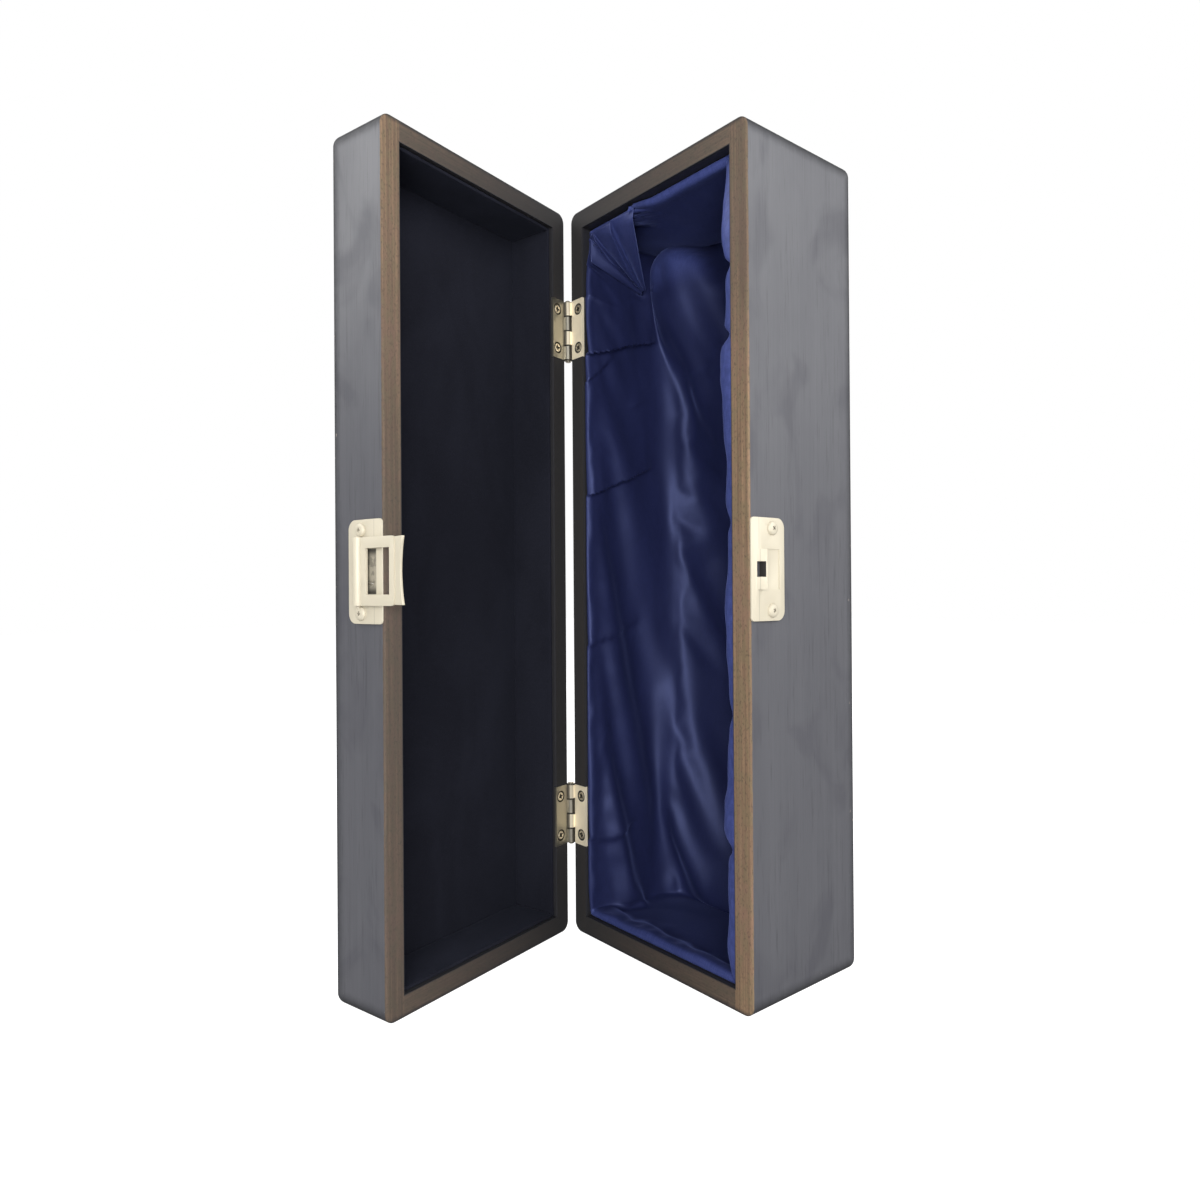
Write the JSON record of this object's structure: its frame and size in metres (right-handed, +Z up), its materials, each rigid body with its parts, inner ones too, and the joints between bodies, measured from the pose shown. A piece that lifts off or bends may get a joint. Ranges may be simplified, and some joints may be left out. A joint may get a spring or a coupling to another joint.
{
  "type": "wooden wine box",
  "caption": "Dark-stained wooden wine box standing open on its end, with brown rims, blue satin lining, butt hinges and a sprung latch.",
  "frame": {"origin": "middle of the tray's bottom end face, which the box stands on", "axes": "+Z up along the box's length; -Y is the way the tray opens; -X is the hinge side and +X the latch side"},
  "size_m": [0.1503, 0.1918, 0.355],
  "materials": {
    "ebony_stained_wood": "satin ebony stain, bare brown rims",
    "nickel_hardware": "polished champagne nickel plate",
    "pale_latch_metal": "satin champagne nickel plate",
    "spring_wire": "drawn spring wire",
    "navy_velvet": "short-pile velvet on card",
    "blue_satin": "loose satin over wadding"
  },
  "bodies": {
    "tray": {"tray_hinge_side_wall": "ebony_stained_wood", "tray_latch_side_wall": "ebony_stained_wood", "tray_top_end": "ebony_stained_wood", "tray_bottom_end": "ebony_stained_wood", "tray_back_panel": "ebony_stained_wood", "upper_hinge_tray_leaf": "nickel_hardware", "upper_hinge_pin": "nickel_hardware", "upper_hinge_tray_screws": "nickel_hardware", "lower_hinge_tray_leaf": "nickel_hardware", "lower_hinge_pin": "nickel_hardware", "lower_hinge_tray_screws": "nickel_hardware", "keeper_plate": "pale_latch_metal", "keeper_screws": "pale_latch_metal", "satin_hinge_side": "blue_satin", "satin_latch_side": "blue_satin", "satin_top_end": "blue_satin", "satin_bottom_end": "blue_satin", "satin_bed": "blue_satin", "satin_neck_rest": "blue_satin"},
    "lid": {"lid_hinge_side_wall": "ebony_stained_wood", "lid_latch_side_wall": "ebony_stained_wood", "lid_top_end": "ebony_stained_wood", "lid_bottom_end": "ebony_stained_wood", "lid_face_panel": "ebony_stained_wood", "upper_hinge_lid_leaf": "nickel_hardware", "upper_hinge_lid_screws": "nickel_hardware", "lower_hinge_lid_leaf": "nickel_hardware", "lower_hinge_lid_screws": "nickel_hardware", "latch_plate": "pale_latch_metal", "latch_pin": "pale_latch_metal", "latch_spring": "spring_wire", "latch_screws": "pale_latch_metal", "lid_face_lining": "navy_velvet", "lid_hinge_side_lining": "navy_velvet", "lid_latch_side_lining": "navy_velvet", "lid_top_lining": "navy_velvet", "lid_bottom_lining": "navy_velvet"},
    "latch_lever": {"latch_lever": "pale_latch_metal"}
  },
  "joints": [
    {"name": "lid_hinge", "type": "hinge", "parent": "tray", "child": "lid", "pos_m": [-0.0592, -0.0358, 0.1775], "axis": [0, 0, -1], "range_deg": [-75, 105]},
    {"name": "latch_pivot", "type": "hinge", "parent": "lid", "child": "latch_lever", "pos_m": [-0.03972, -0.15409, 0.176], "axis": [0, 0, -1], "range_deg": [0, 45], "stiffness_Nm_per_rad": 0.04, "springref_deg": -17.19}
  ]
}
